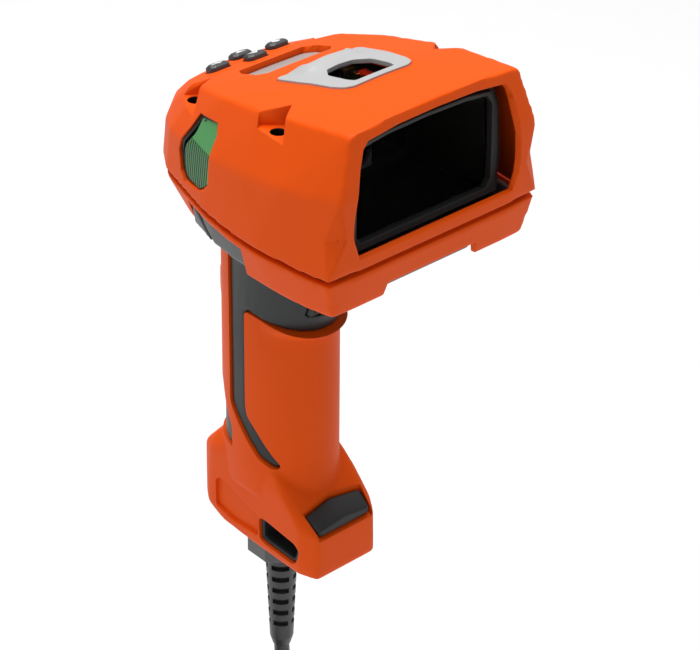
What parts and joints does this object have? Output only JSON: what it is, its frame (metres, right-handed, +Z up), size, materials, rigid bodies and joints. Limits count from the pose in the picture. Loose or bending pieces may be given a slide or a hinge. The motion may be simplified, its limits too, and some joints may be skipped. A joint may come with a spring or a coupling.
{
  "type": "corded handheld code reader",
  "caption": "Pistol-grip optical code reader with a hooded reading window, sprung trigger, keypad and display on the head, strap slot in the foot, cable and plug.",
  "frame": {"origin": "on the handle's axis at the middle of the grip, where the hand closes", "axes": "+Z up along the handle into the head, -Y out of the reading window, +X the reader's right side seen from its window"},
  "size_m": [0.095, 0.107, 0.3955],
  "materials": {
    "orange_shell": "fine satin texture over an impact-resistant moulding",
    "grey_shell": "satin",
    "black_plastic": "fine matte texture",
    "key_plastic": "satin caps with pale printed icons",
    "light_grey_plastic": "satin",
    "soft_rubber": "matte",
    "green_lens": "translucent moulded lens with fine ribs on its lower half",
    "amber_glass": "clear tinted window",
    "clear_glass": "polished",
    "display_glass": "pale grey display behind a clear cover",
    "circuit_board": "green solder mask",
    "steel": "bright",
    "cable_jacket": "satin vinyl jacket"
  },
  "bodies": {
    "reader": {"beeper": "black_plastic", "cable_connector": "light_grey_plastic", "camera_housing": "grey_shell", "cord": "cable_jacket", "cord_hank": "cable_jacket", "cord_tie": "black_plastic", "display_glass": "display_glass", "display_module": "black_plastic", "foot_pad": "soft_rubber", "foot_screw_1": "steel", "foot_screw_2": "steel", "gland_nut": "grey_shell", "handle_core": "black_plastic", "handle_shell": "orange_shell", "housing_screw_front_left": "steel", "housing_screw_front_right": "steel", "housing_screw_rear_left": "steel", "housing_screw_rear_right": "steel", "illumination_chamber": "black_plastic", "image_sensor": "black_plastic", "key_mat": "soft_rubber", "led_board_left": "circuit_board", "led_board_right": "circuit_board", "lens_barrel": "black_plastic", "lens_glass": "clear_glass", "lower_bumper": "orange_shell", "main_board": "circuit_board", "plug_body": "black_plastic", "plug_shell": "steel", "rear_cover": "grey_shell", "sight_board": "circuit_board", "sight_screw": "steel", "sight_window": "amber_glass", "status_frame_left": "black_plastic", "status_frame_right": "black_plastic", "status_lens_left": "green_lens", "status_lens_right": "green_lens", "strain_relief": "cable_jacket", "strap_sleeve": "soft_rubber", "top_bezel": "light_grey_plastic", "trigger_pin": "steel", "trigger_switch": "black_plastic", "under_housing": "grey_shell", "upper_housing": "orange_shell", "window_gasket": "soft_rubber", "window_glass": "clear_glass"},
    "trigger": {"trigger": "black_plastic"},
    "key_left": {"key_left": "key_plastic"},
    "key_rear": {"key_rear": "key_plastic"},
    "key_front": {"key_front": "key_plastic"},
    "key_right": {"key_right": "key_plastic"}
  },
  "joints": [
    {"name": "trigger_pull", "type": "hinge", "parent": "reader", "child": "trigger", "pos_m": [0, -0.0234, 0.0682], "axis": [1, 0, 0], "range_deg": [0, 5], "stiffness_Nm_per_rad": 0.4, "springref_deg": -2.86},
    {"name": "key_left_press", "type": "slide", "parent": "reader", "child": "key_left", "axis": [0, -0.3304, -0.9439], "range_m": [0, 0.0008], "stiffness_N_per_m": 300, "springref_m": -0.001},
    {"name": "key_rear_press", "type": "slide", "parent": "reader", "child": "key_rear", "axis": [0, -0.3304, -0.9439], "range_m": [0, 0.0008], "stiffness_N_per_m": 300, "springref_m": -0.001},
    {"name": "key_front_press", "type": "slide", "parent": "reader", "child": "key_front", "axis": [0, -0.3304, -0.9439], "range_m": [0, 0.0008], "stiffness_N_per_m": 300, "springref_m": -0.001},
    {"name": "key_right_press", "type": "slide", "parent": "reader", "child": "key_right", "axis": [0, -0.3304, -0.9439], "range_m": [0, 0.0008], "stiffness_N_per_m": 300, "springref_m": -0.001}
  ]
}
